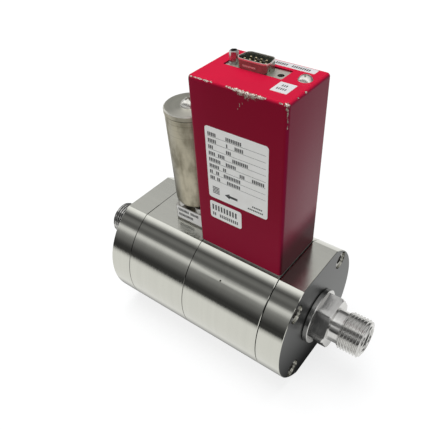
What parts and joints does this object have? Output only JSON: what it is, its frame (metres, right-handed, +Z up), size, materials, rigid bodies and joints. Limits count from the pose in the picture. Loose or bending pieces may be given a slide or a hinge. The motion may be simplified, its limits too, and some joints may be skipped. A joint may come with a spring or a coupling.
{
  "type": "mass flow controller",
  "caption": "Gas mass flow controller: flatted steel bar body with face-seal fittings, red sheet cover with a D connector, and a round valve can.",
  "frame": {"origin": "centre of the bottom flat of the body, which is the centre of the bounding box's floor", "axes": "+X along the body towards the gas inlet fitting, -Y towards the cover's labelled face, +Z up out of the cover's connector"},
  "size_m": [0.1876, 0.08, 0.1751],
  "materials": {
    "turned_steel": "turned and ground stainless steel",
    "fitting_steel": "turned stainless steel",
    "screw_steel": "plain stainless steel",
    "seal_metal": "plated metal seal",
    "red_paint": "satin crimson paint, chipped to bare metal at its edges",
    "bracket_steel": "plain sheet steel",
    "nickel_can": "dull nickel-plated steel, stained",
    "nickel_shell": "bright nickel plate",
    "pin_gold": "plated contact pins",
    "black_plastic": "black moulded plastic",
    "board_green": "glass-fibre circuit board",
    "component_black": "moulded components",
    "winding_copper": "enamelled wire",
    "piezo_ceramic": "plain ceramic",
    "filter_metal": "sintered metal",
    "label_white": "white label stock"
  },
  "bodies": {
    "root": {"inlet_end_block": "turned_steel", "outlet_end_block": "turned_steel", "valve_block": "turned_steel", "sensor_block": "turned_steel", "valve_base": "turned_steel", "sensor_base": "turned_steel", "inlet_fitting": "fitting_steel", "outlet_fitting": "fitting_steel", "laminar_flow_element": "fitting_steel", "sensor_tube": "fitting_steel", "push_rod": "fitting_steel", "valve_seat": "fitting_steel", "diaphragm": "fitting_steel", "inlet_tie_bolts": "screw_steel", "outlet_end_bolts": "screw_steel", "sensor_base_screws": "screw_steel", "base_plate_screws": "screw_steel", "bracket_screws": "screw_steel", "cover_screw": "screw_steel", "valve_base_screws": "screw_steel", "cap_screw": "screw_steel", "jackscrew": "screw_steel", "jackscrew_washer": "screw_steel", "cover_nut": "screw_steel", "can_nut": "screw_steel", "board_spacers": "screw_steel", "outlet_block_seal": "seal_metal", "centre_block_seal": "seal_metal", "inlet_block_seal": "seal_metal", "sensor_port_seals": "seal_metal", "cover": "red_paint", "inner_bracket": "bracket_steel", "base_plate": "bracket_steel", "sensor_case": "bracket_steel", "actuator_can": "nickel_can", "actuator_cap": "nickel_can", "connector_shell": "nickel_shell", "connector_pins": "pin_gold", "connector_insulator": "black_plastic", "board_header": "black_plastic", "main_circuit_board": "board_green", "connector_board": "board_green", "board_components": "component_black", "sensor_windings": "winding_copper", "piezo_stack": "piezo_ceramic", "inlet_filter": "filter_metal", "main_label": "label_white", "inspection_label": "label_white", "zero_label": "label_white", "calibration_strip": "label_white", "valve_label": "label_white"}
  },
  "joints": []
}
